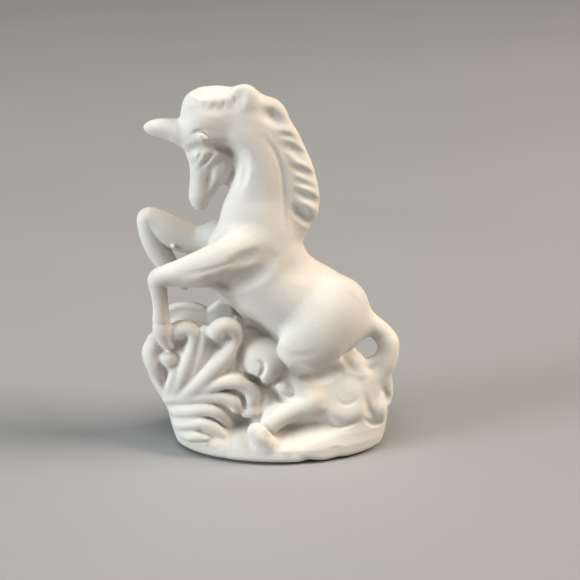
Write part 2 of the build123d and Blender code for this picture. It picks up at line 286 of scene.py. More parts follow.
class Ground:
    def __init__(self, part):
        self.part = part

    def box(self):
        if self.part == "both":
            return np.array([-31.0, -15.4, 0.0]), np.array([29.5, 15.4, 33.0])
        return (np.array([-31.0, -15.4, 0.0]), np.array([29.5, 15.4, SEAM_Z])) if self.part == "mound" else \
            (np.array([-31.0, -11.5, SEAM_Z]), np.array([29.5, 11.5, 33.0]))

    def field(self, lat):
        lo, hi = self.box()
        f = np.full(lat.n, FAR, np.float32)
        w = lat.window(lo - BAND, hi + BAND)
        if w is None:
            return f
        x, y, z = lat.grid(w)
        x2, z2 = x[:, 0, :].astype(float), z[:, 0, :].astype(float)
        flat = polygon_distance(OUTLINE, x2, z2)
        t = half_depth(x2, z2)
        gx = (half_depth(x2 + 0.3, z2) - half_depth(x2 - 0.3, z2)) / 0.6
        gz = (half_depth(x2, z2 + 0.3) - half_depth(x2, z2 - 0.3)) / 0.6
        s = 1.0 / np.sqrt(1.0 + gx ** 2 + gz ** 2)
        d = (np.abs(y) - t[:, None, :].astype(np.float32)) * s[:, None, :].astype(np.float32)
        d = soft_max(d, np.broadcast_to(flat[:, None, :].astype(np.float32), d.shape), 2.2)
        d = soft_max(d, np.broadcast_to(-z, d.shape), 0.5)
        if self.part != "both":
            seam = z - np.float32(SEAM_Z)
            d = np.maximum(d, seam if self.part == "mound" else -seam)
        f[w] = np.minimum(d, FAR)
        return f


# ------------------------------------------------------------------ control points
def at(pts, flat=1.0):
    """(u, v, y, radius in picture points[, depth ratio]) to millimetres."""
    out = []
    for q in pts:
        p, s = unproject(q[0], q[1], q[2])
        out.append((p[0], p[1], p[2], q[3] * s, q[4] if len(q) > 4 else flat))
    return out


def on_face(pts, lift=0.3, flat=1.0):
    """(u, v, radius[, lift]) on the base's left face to millimetres."""
    out = []
    for q in pts:
        up = q[3] if len(q) > 3 else lift
        y = face(q[0], q[1]) - up
        p, s = unproject(q[0], q[1], y)
        out.append((p[0], p[1], p[2], q[2] * s, flat))
    return out


def far(pts, shift=0.0, drop=0.0):
    return [(q[0] + shift, -q[1], q[2] - drop) + tuple(q[3:]) for q in pts]


def ball_at(u, v, y, ru, rv, ry, turn=0.0):
    p, s = unproject(u, v, y)
    return Ball(p, (ru * s, ry, rv * s), turn)


def far_ball(b, drop=0.0):
    return Ball((b.c[0], -b.c[1], b.c[2] - drop), b.r, math.degrees(b.a))


def line(*pts, R=4.0, h=0.3, side=-1, clear=0.4):
    """Stroke of one reach and height; a long one fades out towards both ends."""
    n = len(pts)
    fade = [1.0] * n if n < 3 else [0.35] + [1.0] * (n - 2) + [0.35]
    return Stroke([(p[0], p[1], p[2] if len(p) > 2 else R, (p[3] if len(p) > 3 else h) * f) for p, f in zip(pts, fade)], side, clear)


# each piece: list of ("+", form, fillet) / ("-", form, fillet) / ("~", stroke)
PIECES = {}

# --- trunk
PIECES["body_shell"] = [
    ("+", Tube(at([(231, 250, 0, 24, 0.95), (241, 256, 0, 33, 0.9), (256, 268, 0, 43, 0.84), (272, 283, 0, 45.5, 0.84),
                   (290, 296, 0, 45, 0.88), (308, 304, 0, 43, 0.92), (324, 311, 0, 39.5, 0.96), (335, 316, 0, 36, 1.0)])), 0),
    ("~", line((284, 262), (300, 269), (320, 273), R=18, h=-0.4, side=0, clear=2.0)),
]

# --- neck and head
NECK = [(262, 250, 0, 40, 0.80), (259, 236, 0, 41, 0.79), (258, 218, 0, 37.5, 0.79), (259, 200, 0, 33, 0.79),
        (259, 182, 0, 31, 0.79), (257, 164, 0, 30, 0.79), (251, 146, 0, 30, 0.78), (243, 129, 0, 29, 0.78),
        (235, 116, 0, 24, 0.8), (230, 108, 0, 17, 0.86)]
HEAD = [(226, 107, 0, 17, 0.9), (213, 114, 0, 25, 0.84), (207, 126, 0, 26, 0.86), (207, 138, 0, 25, 0.89),
        (208.5, 150, 0, 23, 0.62), (209, 160, 0, 20.5, 0.62), (207.5, 170, 0, 17.8, 0.66), (205.5, 180, 0, 15.6, 0.73),
        (202, 190, 0, 13, 0.84), (199.5, 197, 0, 10.6, 0.98), (200, 202, 0, 8.2, 1.1), (202.5, 205.5, 0, 5.2, 1.3)]
JAW = ball_at(220, 162, -0.8, 13.5, 17, 1.75, -12)
PIECES["neck_and_head"] = [
    ("+", Tube(at(NECK)), 0),
    ("+", Tube(at([(246, 110, 0, 18.5, 1.0), (262, 127, 0, 18, 0.87), (275, 146, 0, 18, 0.8), (281, 166, 0, 18.5, 0.8),
                   (284, 188, 0, 19, 0.8), (284, 208, 0, 20, 0.8), (281, 226, 0, 22, 0.8)])), 1.5),
    ("+", Tube(at(HEAD)), 2.0),
    ("+", Tube(at([(223, 167, 0, 9, 0.6), (225.5, 176.5, 0, 7, 0.6)])), 1.2),
    ("+", JAW, 1.6),
    ("+", far_ball(JAW), 1.6),
    # throat
    ("~", line((227, 147), (239, 153.5), (246, 163), R=12, h=-0.9, side=0, clear=1.2)),
    ("~", line((231, 150), (237, 161), (237, 175), (230.5, 188), R=13, h=-1.35, side=0)),
    ("~", line((242, 160), (240.5, 176), (236, 192), R=4, h=0.2, side=0)),
    ("~", line((247, 158), (246.5, 174), (242, 190), R=5, h=-0.3, side=0)),
    # forehead and the ridge over the eye
    ("~", line((190, 115), (204, 118), (218, 126), R=15, h=0.3, side=0)),
    ("~", line((187, 127), (198, 126), (209, 129.5), (222, 137), (236, 146), R=11, h=0.14, side=0)),
    # eye
    ("~", line((192.5, 134), (198.5, 130.8), (204.5, 132.4), (209.5, 136.8), R=3.0, h=-0.5, side=0)),
    ("~", line((201, 137), (203, 139), R=5.8, h=0.55, side=0)),
    ("~", line((212, 143), (223, 147), (237, 152), R=7, h=-0.4, side=0)),
    # hollow and ribs under the eye
    ("~", line((187, 152.5), (193, 149), (203, 146.5), (215, 147), (232, 151), R=7.5, h=-0.68, side=0)),
    ("~", line((206, 149.5), (204, 156), (200, 162), (196, 167), R=4.2, h=0.3, side=0)),
    ("~", line((221, 153), (214, 159.5), (205, 168), R=4.4, h=0.38, side=0)),
    ("~", line((212.5, 152), (208.5, 158), (203.5, 165), R=3.6, h=-0.35, side=0)),
    ("~", line((197.5, 151), (197, 155), (196, 160), R=3.2, h=0.22, side=0)),
    # muzzle
    ("~", line((211, 168), (207.5, 181), (206, 193), R=10, h=-0.4, side=0)),
    ("~", line((213, 167), (210, 178), (207, 190), R=4.6, h=-0.28, side=0)),
]
PIECES["horn"] = [
    ("+", Tube(at([(190, 133.5, 0, 15), (181, 132, 0, 13.6), (172, 129.5, 0, 11.6), (163, 128.3, 0, 10.0),
                   (154, 127.6, 0, 8.0), (148.5, 127.4, 0, 5.0)])), 0),
]
EAR = ball_at(243.5, 96.4, -2.5, 12.8, 12.4, 1.65, 10)
PIECES["ears"] = [("+", EAR, 0), ("+", far_ball(EAR, 1.1), 0),
                  ("~", line((240, 91.5), (240, 98), (239, 104.5), R=9, h=-1.15, clear=1.5)),
                  ("~", line((240, 96), (240, 102.5), (239, 109), R=9, h=-1.15, side=1, clear=1.5))]
HEM = [(234, 101, -1.9, 5), (225, 102.5, -2.4, 5.5), (213, 103, -2.65, 5.5), (203, 103.5, -2.3, 5.5), (194, 106.5, -1.5, 5)]
PIECES["forelock"] = [
    ("+", Tube(at([(236, 98, 0, 7, 1.5), (228, 97, 0, 8.2, 1.6), (218, 96, 0, 8.8, 1.6), (207, 96, 0, 8.8, 1.5), (199, 98, 0, 9.6, 1.4),
                   (192, 102.6, 0, 8.8, 1.3), (187.5, 112, 0, 6, 1.2)])), 0),
    ("+", Tube(at(HEM)), 1.4),
    ("+", Tube(far(at(HEM))), 1.4),
]
PLEATS = [line((a, t), ((a + b) / 2, (t + e) / 2), (b, e), R=r, h=k, side=0, clear=1.0) for a, t, b, e, r, k in
          ((205.5, 102, 203.5, 108.5, 4.0, -0.1), (214.2, 102.5, 213.2, 109.5, 3.2, -0.17), (224.2, 101, 223.2, 108, 3.4, -0.2),
           (234, 97.5, 235, 105, 3.8, -0.26))] + [
    line((204, 109), (213, 108.5), (225, 107), (237, 104.5), R=9, h=-0.24, side=0, clear=1.0),
    line((193, 91), (200, 94.5), (210, 94), R=6, h=-0.42, side=0, clear=0.3),
    line((208, 90), (217, 92), (227, 91), R=5, h=-0.36, side=0, clear=0.3),
    line((190, 99), (196, 102), (199, 108), R=5, h=-0.26, side=0, clear=0.6),
]

MANE = [(248, 101, 0, 10.5, 1.25), (255, 103, 0, 9.8, 1.2), (263, 105, 0, 9.2, 1.1), (272, 107.4, 0, 9.3, 1.0), (277.5, 114, 0, 9.6, 1.0), (281.5, 125, 0, 10.4, 0.98),
        (287.5, 138, 0, 11.8, 0.95), (293.5, 153, 0, 13, 0.93), (299, 168, 0, 14, 0.92), (302.5, 184, 0, 15, 0.9),
        (304.5, 199, 0, 15.2, 0.9), (303.5, 212, 0, 14, 0.9), (299, 223, 0, 11, 0.9), (294, 233, 0, 7.5, 0.9)]
HAIR = [  # hollows between the locks, and the locks' own backs
    line((262.5, 112.5), (269.5, 115.5), (276, 120), (281, 125), R=10.5, h=-0.55, side=0, clear=0.2),
    line((281, 135), (288, 136), (294, 138.5), R=5, h=-0.26, side=0, clear=0.2),
    line((286, 145.5), (292, 149), (298, 153.5), (304, 157), R=7.5, h=-0.62, side=0, clear=0.2),
    line((296, 158), (301, 160), (307, 163), R=5, h=-0.2, side=0, clear=0.2),
    line((294, 166.5), (300, 170), (306, 174), (312, 178), R=7, h=-0.58, side=0, clear=0.2),
    line((298, 181), (305, 184), (312, 188), R=6, h=-0.45, side=0, clear=0.2),
    line((298, 191.5), (305, 195.5), (312, 200), (317, 204), R=7, h=-0.6, side=0, clear=0.2),
    line((295, 209), (301, 214.5), (307, 219.5), (313, 223), R=8.5, h=-0.7, side=0, clear=0.2),
    line((277, 128.5), (288, 130), (298, 135.5), R=6, h=0.25, side=0, clear=0.2),
    line((293, 163), (302, 164.5), (312, 169.5), R=4.5, h=0.14, side=0, clear=0.2),
    line((297, 187.5), (307, 189.5), (318, 194.5), R=4.5, h=0.16, side=0, clear=0.2),
    line((298, 202.5), (308, 205.5), (318, 211), R=5.5, h=0.2, side=0, clear=0.2),
]
PIECES["mane"] = [("+", Tube(at(MANE)), 0)]

# --- limbs
FORE_L = [(260, 243, -2.4, 20, 0.8), (245, 247.5, -5.2, 20, 0.84), (228, 256, -6.9, 19.5, 0.84), (210, 264.5, -7.4, 18.5, 0.84),
          (195, 269.5, -7.5, 16.5, 0.86), (180, 273, -7.5, 13.6, 0.9), (167, 275.5, -7.5, 11.2, 1.0), (158.5, 279, -7.5, 10.6, 1.0),
          (158, 286, -7.4, 9.3, 1.0), (159.5, 297, -7.3, 8.2, 1.0), (160.8, 308, -7.2, 8.0, 1.0), (161, 318, -7.0, 8.6, 1.0),
          (161.8, 326, -6.8, 9.4, 1.0), (162.5, 331, -6.7, 9.4, 1.0)]
PIECES["left_foreleg"] = [
    ("+", Tube(at(FORE_L)), 0),
    ("+", Tube(at([(184, 279.5, -7.0, 7.6), (199, 278.8, -6.8, 8.8), (212, 280, -6.3, 9.4), (221, 286, -5.2, 9.5), (228, 296, -3.8, 8)])), 1.2),
    ("+", Tube(at([(227, 274, -5.3, 9.5, 0.9), (243, 272, -5.5, 12, 0.85), (256, 266, -5.2, 11.5, 0.8)])), 2.0),
    ("~", line((184, 274.5), (204, 271), (222, 266), (242, 259.5), R=3.6, h=-0.16)),
    ("~", line((234, 262.5), (250, 256.5), (266, 251), R=10, h=-0.9)),
    ("~", line((184, 281), (196, 280.5), (208, 278), R=6, h=0.2)),
    ("~", line((209, 281), (221, 284), (232, 286), (245, 283), R=7.5, h=-0.7)),
    ("+", Tube(at([(163, 331, -6.7, 8.2), (165, 339, -6.4, 8.2), (168, 345, -6.4, 6.4)])), 1.0),
    ("~", line((149, 322.5), (161, 325), (173, 323.5), R=2.4, h=-0.14)),
]
FORE_R = [(238, 238, 4.6, 18, 0.8), (222, 236, 5.8, 17.5, 0.8), (208, 238.5, 6.6, 15, 0.85), (196, 240, 7.0, 14.4, 0.9),
          (182, 236.5, 7.2, 15.6, 0.9), (168, 229.5, 7.3, 15.6, 0.9), (156, 221.5, 7.4, 13, 0.95), (148.5, 218.5, 7.4, 11.3, 1.0),
          (149, 227, 7.4, 11.4, 1.0), (153, 239, 7.4, 12, 1.0), (159, 251, 7.4, 12, 1.0), (166, 262, 7.3, 10.8, 1.0),
          (173.5, 271.5, 7.2, 9.2, 1.0), (180, 279, 7.1, 8.6, 1.0), (184, 283, 7.0, 7, 1.0)]
PIECES["right_foreleg"] = [("+", Tube(at(FORE_R)), 0), ("+", ball_at(173.5, 246.5, 4.2, 2.6, 2.4, 0.7), 0.5)]

THIGH_L = [(334, 306, -3.4, 31, 0.72), (326, 320, -5.4, 35, 0.67), (317, 334.5, -6.8, 33, 0.68), (309, 345.5, -7.4, 27.5, 0.72)]
HIND_L = [(308, 352, -5.6, 18, 0.8), (305, 364, -5.2, 17, 0.84), (304, 376, -5.6, 15.8, 0.92), (307, 388, -6.6, 15.4, 0.94), (311, 398, -8.0, 14.4, 0.95),
          (308, 404, -9.0, 12.4, 1.0), (298, 407.5, -9.4, 11.2, 1.0), (285, 413.5, -10.2, 10.4, 1.0), (273, 421.5, -11.0, 10.2, 1.0), (265.5, 429, -11.8, 9.6, 1.0)]
HOOF_L = [(256, 431, -12.2, 8.6, 1.0), (261.5, 436.5, -12.5, 10.2, 1.0), (267, 442, -12.7, 9.0, 1.0)]
HIND_STROKES = [
    line((282, 352), (296, 356), (314, 353), R=6, h=-0.22),
    line((256, 420), (264.5, 425.5), (272, 433), (278, 437), R=3.0, h=-0.4),
]
STIFLE = ball_at(296, 346, -7.4, 14, 16, 2.6)
PIECES["left_hind_leg"] = [("+", Tube(at(THIGH_L)), 0), ("+", STIFLE, 3.6), ("+", Tube(at(HIND_L)), 0.9),
                           ("+", Tube(at(HOOF_L)), 0.6)] + [("~", s) for s in HIND_STROKES]
LOWER = [2.4, 1.6, 0.8, 0.3]
PIECES["right_hind_leg"] = [("+", Tube([far([q], 0.8, d)[0] for q, d in zip(at(THIGH_L), LOWER)]), 0),
                            ("+", Ball((STIFLE.c[0] + 0.8, -STIFLE.c[1], STIFLE.c[2] - 0.5), STIFLE.r), 3.6),
                            ("+", Tube(far(at(HIND_L), 0.8)), 0.9),
                            ("+", Tube(far(at(HOOF_L), 0.8)), 0.6)]

TAIL = [(350, 321, 0, 16, 1.0), (363, 322.5, 0, 13.6, 1.0), (374.5, 327, 0.2, 10.8, 1.0), (383.6, 335, -0.1, 10.5, 1.0), (388, 343, -0.9, 11.2, 1.0),
        (388, 354, -1.8, 10.6, 1.0), (386, 364, -2.5, 9.6, 1.0), (383.5, 373, -2.8, 8.4, 1.0), (385.5, 383, -2.8, 7.2, 1.0),
        (387, 393, -3.0, 6, 1.0), (386, 402, -3.8, 4.6, 1.0)]
PIECES["tail"] = [("+", Tube(at(TAIL)), 0)]

# --- base
DRAIN = ("-", Ball((2.4, 0, 0), (3.5, 3.5, 9.0)), 0.3)
PIECES["base_mound"] = [
    ("+", Ground("mound"), 0),
    DRAIN,
    ("~", line((302, 459), (309, 460), (317, 460), R=5, h=-0.4)),
    ("~", line((240, 437), (241, 442), (241, 447.5), R=9, h=0.3)),
    ("~", line((222, 447), (226, 453), R=9, h=-0.15)),
    ("~", line((284, 445), (286.5, 451), R=9, h=0.2)),
    ("~", line((333, 443), (338, 456), R=11, h=-0.2)),
]
FRONT = [[(-22.4, 0.0, 9.4, 2.2, 1.0), (-23.2, 0.0, 12.4, 2.9, 1.0), (-24.6, 0.0, 15.8, 3.2, 1.0), (-25.6, 0.0, 19.2, 3.0, 1.0), (-24.6, 0.0, 22.0, 2.4, 1.0), (-22.4, 0.0, 23.4, 1.8, 1.0)]]
PIECES["scroll_wall"] = [("+", Ground("wall"), 0)] + [("+", Tube(t, 0.8), 0.9) for t in FRONT] + [
                          ("+", Tube(at([(350.5, 350.5, -2.6, 4.6, 1.3), (357, 356.8, -2.8, 5, 1.3), (363.5, 362.8, -3.0, 4.6, 1.3), (370, 362.5, -2.8, 4.6, 1.3), (378, 358.5, -2.2, 4.6, 1.3)])), 2.0),
                          ("+", Tube(at([(347, 357, -3.4, 6, 1.3), (353, 363, -3.8, 7.5, 1.3), (360, 370, -4.0, 7, 1.3)])), 1.5)]

FAN = [
    (on_face([(171, 398, 3.6, -0.6), (177, 390, 6.0, -0.2), (182, 379, 7.0, 0.2), (187, 366, 7.2, 0.3), (191.5, 353, 7.0, 0.3), (194, 341, 6.6, 0.3),
              (192.5, 332.5, 7.4, 0.4), (187, 328.3, 8.2, 0.5), (180.5, 329, 8.8, 0.6), (177.5, 331, 9.0, 0.6)]), 0.9),
    (on_face([(166, 399.5, 3.0, -0.6), (178, 397, 5.0, -0.3), (190, 391, 6.8, 0.1), (203, 380.5, 8.0, 0.4), (216, 367.5, 8.4, 0.5), (226.5, 356, 8.2, 0.5),
              (233.5, 345, 7.6, 0.5), (235.5, 335.5, 7.4, 0.5), (233, 327.5, 8.2, 0.6), (226, 325, 8.6, 0.7), (219, 328, 9.2, 0.8), (217, 331, 9.6, 0.8)]), 0.9),
    (on_face([(184, 391, 3.6, -0.4), (190, 380, 5.0, -0.2), (196.5, 367, 5.6, 0.0), (201.5, 353, 5.8, 0.1), (204, 340, 5.8, 0.1), (204.5, 330, 5.2, 0.0)]), 0.9),
    (on_face([(156, 340.5, 5.4, -1.0), (152.8, 347.5, 9.6, -0.3), (152, 355, 10.0, 0.4), (154.5, 365, 8.6, 0.7), (158.2, 374.5, 6.6, 0.5), (162.5, 384, 4.2, -0.1)]), 0.8),
    (on_face([(168, 355, 5.0, 0.3), (169.5, 358, 8.4, 0.4), (171, 362, 7.0, 0.3), (172, 366.5, 4.2, 0.1)]), 1.6),
    (on_face([(176, 371, 4.6, 0.1), (173.5, 378, 6.0, 0.2), (171, 386, 5.2, 0.0), (168, 392.5, 3.4, -0.3)]), 0.9),
]
WAVES = [
    (on_face([(180, 397, 3.4, -0.6), (192, 393.5, 5.0, -0.2), (205, 389, 6.6, 0.2), (219, 384, 8.0, 0.5), (233, 381.7, 8.6, 0.6), (245, 384.5, 9.0, 0.6),
              (251.5, 391.5, 8.4, 0.4), (252.5, 398, 7.4, 0.2), (251, 403, 5.6, 0.0)]), 0.6),
    (on_face([(171, 398.6, 3.8, -1.0), (182, 398.8, 5.2, -0.2), (197, 397.5, 6.0, 0.1), (212, 396.5, 6.6, 0.3), (226, 397.5, 7.0, 0.4), (234.5, 402, 7.0, 0.4),
              (236.5, 408, 5.4, 0.2)]), 0.6),
    (on_face([(173, 410.3, 4.2, -1.1), (180, 411, 6.3, -0.2), (192, 411, 7.0, 0.3), (206, 409.8, 7.0, 0.4), (217, 411.7, 7.0, 0.4), (225, 417.5, 6.4, 0.3),
              (229.5, 424, 4.6, 0.0)]), 0.6),
    (on_face([(177, 423.8, 4.2, -1.1), (183, 424.3, 6.1, -0.2), (192, 424.5, 6.6, 0.3), (204, 423.7, 6.6, 0.4), (213, 427.5, 6.4, 0.3), (221, 433.5, 5.0, 0.0)]), 0.6),
    (on_face([(184, 434.3, 3.8, -0.8), (190, 435.8, 5.4, 0.0), (198, 436.5, 5.6, 0.2), (206, 439, 4.2, 0.0)]), 0.6),
    (on_face([(247, 411.8, 6.2, -0.1), (253, 411.2, 6.4, -0.1)]), 1.2),
]
CURL = [
    (on_face([(258, 348, 11.5, -0.4), (260.5, 356, 17.0, -1.1), (264, 364, 14.6, -0.7), (266, 371, 10.5, -0.2), (266.5, 374.5, 7.0, 0.0)]), 1.0),
    (on_face([(251.5, 354, 8.6, -0.4), (252, 361, 8.2, -0.3), (255.5, 366.5, 7.6, -0.1)]), 2.2),
    (on_face([(267, 346.5, 8.0, -0.2), (272, 354.5, 8.8, 0.1), (272.5, 364, 8.8, 0.2), (269, 372.5, 8.0, 0.1), (264.5, 378, 6.0, -0.2)]), 2.2),
    (on_face([(280, 385, 5.6, 0.2), (283.5, 388, 7.0, 0.3), (287.5, 391, 5.5, 0.2)]), 0.7),
    (on_face([(266.5, 390.5, 4.6, -0.5), (266.3, 395, 5.4, -0.5), (266.5, 400, 4.8, -0.5)]), 1.6),
]
TAIL_SCROLLS = [
    (on_face([(347, 387, 12.5, -2.6), (349, 390, 13.0, -2.6)]), 3.0),
    (on_face([(330, 404, 5.5, -1.3), (335, 411, 8.2, -1.6), (344, 414.5, 9.4, -1.8), (353, 411.5, 8.4, -1.6), (360, 405.5, 6.0, -1.3)]), 2.8),
    (on_face([(322, 400, 4.5, -0.7), (322.5, 406, 5.2, -0.5)]), 1.0),
    (on_face([(381, 397, 4.8, -0.8), (379.5, 404, 6.8, -0.6), (378.8, 410.5, 7.4, -0.5), (380, 415.5, 5.6, -0.7)]), 1.6),
]
WEB = [(on_face([(174, 335, 8), (184, 333, 9), (196, 336, 9), (206, 338, 9), (221, 332, 9), (234, 336, 9)], -1.2, 0.5), 1.4),
       (on_face([(169, 349, 9), (184, 347, 9.5), (196, 349, 9.5), (206, 350, 9.5), (221, 346, 9.5), (236, 350, 9.5)], -1.2, 0.5), 1.4),
       (on_face([(172, 362, 9), (190, 361, 9.5), (206, 362, 9.5), (222, 360, 9.5)], -1.2, 0.5), 1.4)]
RIM = [(159, 319), (164.5, 312.5), (171.5, 308.4), (180, 305.7), (190, 305.5), (200, 308), (207, 311.5), (213, 308.5), (220.5, 302.8), (231, 300)]
BACK_WEB = [(at([(u, v + d, 5.4, 4.2, 1.2) for u, v in RIM]), 1.2) for d in (0, 6, 12, 18, 25)]
for label, group in (("scroll_fan", FAN), ("wave_scrolls", WAVES), ("centre_curl", CURL), ("tail_scrolls", TAIL_SCROLLS)):
    drop = 1.4 if label == "scroll_fan" else 0.0
    PIECES["left_" + label] = [("+", Tube(p, 0.6), k) for p, k in group]
    PIECES["right_" + label] = [("+", Tube(far(p, 0.0, drop), 0.6), k) for p, k in group]
PIECES["left_scroll_fan"] += [("+", Tube(p, 0.8), k) for p, k in WEB]
PIECES["right_scroll_fan"] += [("+", Tube(p, 0.8), k) for p, k in BACK_WEB] + [("+", Tube(far(p, 0.0, 1.4), 0.8), k) for p, k in WEB]
CREASES = [
    # fan: the commas inside the crooks and the hollow under the hoof
    line((178, 342), (184.5, 341), (188, 336.5), R=4.6, h=-0.3, side=0, clear=3.0),
    line((214.5, 344), (221, 345.5), (227, 342), (229.5, 338), R=5.4, h=-0.35, side=0, clear=3.0),
    line((158.5, 348), (166, 352), (176, 351), R=5, h=-0.35, clear=2.0),
    line((161.5, 362), (165, 373), (164.5, 384), R=4.2, h=-0.15, side=0, clear=2.0),
    line((240, 345), (239, 358), (236, 370), R=5, h=-0.8, side=0, clear=3.0),
    # waves
    line((214, 391.8), (226, 390), (237, 391.2), (242.5, 397), (243, 403), R=4.0, h=-0.34, side=0, clear=3.0),
    line((172, 404), (185, 405), (198, 403.2), (212, 402.8), (222, 408), (228, 413), R=2.6, h=-0.09, side=0, clear=3.0),
    line((176, 417.4), (190, 418), (203, 416.3), (212, 418.5), (219, 424), R=2.6, h=-0.09, side=0, clear=3.0),
    line((181, 430), (194, 429.6), (204, 432), (213, 435.8), (221, 438.5), R=2.4, h=-0.14, side=0, clear=3.0),
    line((192, 441.8), (203, 442.6), (210, 440), R=2.6, h=-0.3, side=0, clear=3.0),
    # centre curl
    line((259, 361.8), (262.6, 363.8), (263.8, 368.5), (261.5, 374.5), (258, 380), R=4.0, h=-0.6, side=0, clear=3.0),
    line((265, 385.5), (272.5, 383.5), (280, 378.5), R=5, h=-0.55, side=0, clear=3.0),
    line((247, 376.5), (255, 379.5), (262, 383.5), R=5.5, h=-1.4, side=0, clear=3.0),
    line((274, 392), (279, 398), (286, 401), R=5.5, h=-1.0, side=0, clear=3.0),
    # tail scrolls
    line((337, 399), (343, 404.5), (351, 404), (358, 398.5), R=3.6, h=-0.16, side=0, clear=3.0),
    line((366, 397), (366.5, 406), (369, 414), R=6.5, h=-0.55, side=0, clear=3.0),
    line((384, 390.5), (386, 397), (384.5, 403), R=6, h=-0.5, side=0, clear=1.0),
    line((347, 362), (354, 367.5), (363, 369), (374, 365), R=8, h=-0.26, side=0, clear=1.5),
    line((328, 420.5), (337, 426.5), (349, 425), (359, 419.5), R=3.6, h=-0.4, side=0, clear=3.0),
    line((365, 419.5), (372, 424), (380, 423), R=4, h=-0.4, side=0, clear=3.0),
    # under the belly and the thigh
    line((244, 317), (260, 325), (279, 335), R=10, h=-0.75, side=0, clear=3.0),
    line((297, 370), (310, 377), (324, 376.5), (337, 369.5), R=9, h=-1.15, side=0, clear=3.0),
    line((300, 381), (312, 388), (326, 384), R=14, h=-0.5, side=0, clear=3.0),
    # mane, neck and breast
    *PLEATS, *HAIR,
    line((264, 137), (274, 151), (280, 166), (283, 186), (284, 206), (284, 226), R=4.6, h=-0.16, side=0),
    line((273, 141), (283, 160), (287.5, 176), (289, 192), (289, 212), R=5, h=0.14, side=0),
    line((224, 284), (242, 281), (258, 273), (270, 260), R=13, h=-0.7, clear=2.0),
]

# order in which the castings are joined, and the fillet (mm) that the slip leaves
FILLET = {
    "base_mound": 0.0, "scroll_wall": 0.0, "body_shell": 1.0, "neck_and_head": 3.0, "left_foreleg": 2.6, "right_foreleg": 0.9,
    "left_hind_leg": 1.7, "right_hind_leg": 1.7, "tail": 1.6, "horn": 1.2, "mane": 2.2, "forelock": 1.7, "ears": 1.7,
    "left_scroll_fan": 1.0, "right_scroll_fan": 1.0, "left_wave_scrolls": 0.9, "right_wave_scrolls": 0.9,
    "left_centre_curl": 0.9, "right_centre_curl": 0.9, "left_tail_scrolls": 1.0, "right_tail_scrolls": 1.0,
}
FINE = {"neck_and_head": 0.20, "ears": 0.18, "forelock": 0.18, "mane": 0.18, "horn": 0.18}
COARSE = 0.24
TUCK = 0.05  # how far a casting reaches under its neighbour at a seam


def piece_box(steps):
    boxes = [s[1].box() for s in steps if s[0] == "+"]
    return np.min([b[0] for b in boxes], 0), np.max([b[1] for b in boxes], 0)


BOXES = {n: piece_box(s) for n, s in PIECES.items()}
UNCUT = {"base_mound": [("+", Ground("both"), 0)] + PIECES["base_mound"][1:],
         "scroll_wall": [("+", Ground("both"), 0), DRAIN] + PIECES["scroll_wall"][1:]}


def piece_field(steps, lat):
    f = None
    for s in steps:
        if s[0] == "+":
            g = s[1].field(lat)
            f = g if f is None else soft_min(f, g, s[2])
        elif s[0] == "-":
            f = soft_max(f, -s[1].field(lat), s[2])
        else:
            f = s[1].apply(f, lat)
    return f


def fields_for(name, h):
    """The joined field of all castings and this casting's own cell, on this casting's lattice."""
    lo, hi = BOXES[name]
    lat = Lattice(lo - 1.3, hi + 1.3, h)
    whole, own, other = None, None, np.full(lat.n, FAR, np.float32)
    for n, fillet in FILLET.items():
        blo, bhi = BOXES[n]
        w = lat.window(blo - BAND, bhi + BAND)
        if w is None:
            continue
        sub = Lattice.__new__(Lattice)
        sub.h = lat.h
        sub.first = lat.first + np.array([s.start for s in w])
        sub.n = tuple(s.stop - s.start for s in w)
        sub.lo = sub.first * lat.h
        sub.hi = (sub.first + np.array(sub.n) - 1) * lat.h
        sub.axes = [lat.axes[i][w[i]] for i in range(3)]
        part = piece_field(PIECES[n], sub)
        if whole is None:
            whole = np.full(lat.n, FAR, np.float32)
        whole[w] = soft_min(whole[w], piece_field(UNCUT[n], sub) if n in UNCUT else part, fillet)
        if n == name:
            own = np.full(lat.n, FAR, np.float32)
            own[w] = part
        else:
            other[w] = np.minimum(other[w], part)
    cell = 0.5 * (own - other)
    for stroke in CREASES:
        stroke.apply(whole, lat)
    return lat, whole + 0.2 * np.maximum(cell, 0.0), cell - np.float32(TUCK)


# ------------------------------------------------------------------ meshing
def sample(arr, p):
    n = arr.shape
    i = np.clip(np.floor(p).astype(np.int32), 0, np.array(n) - 2)
    f = (p - i).astype(np.float32)
    flat = arr.ravel()
    base = (i[:, 0] * n[1] + i[:, 1]) * n[2] + i[:, 2]
    sx, sy = n[1] * n[2], n[2]
    fx, fy, fz = f[:, 0], f[:, 1], f[:, 2]
    c00 = flat[base] * (1 - fx) + flat[base + sx] * fx
    c01 = flat[base + 1] * (1 - fx) + flat[base + sx + 1] * fx
    c10 = flat[base + sy] * (1 - fx) + flat[base + sx + sy] * fx
    c11 = flat[base + sy + 1] * (1 - fx) + flat[base + sx + sy + 1] * fx
    return (c00 * (1 - fy) + c10 * fy) * (1 - fz) + (c01 * (1 - fy) + c11 * fy) * fz


def gradient(arr, p, h):
    g = np.empty((len(p), 3), np.float32)
    for i in range(3):
        e = np.zeros(3)
        e[i] = 0.6
        g[:, i] = (sample(arr, p + e) - sample(arr, p - e)) / (1.2 * h)
    return g


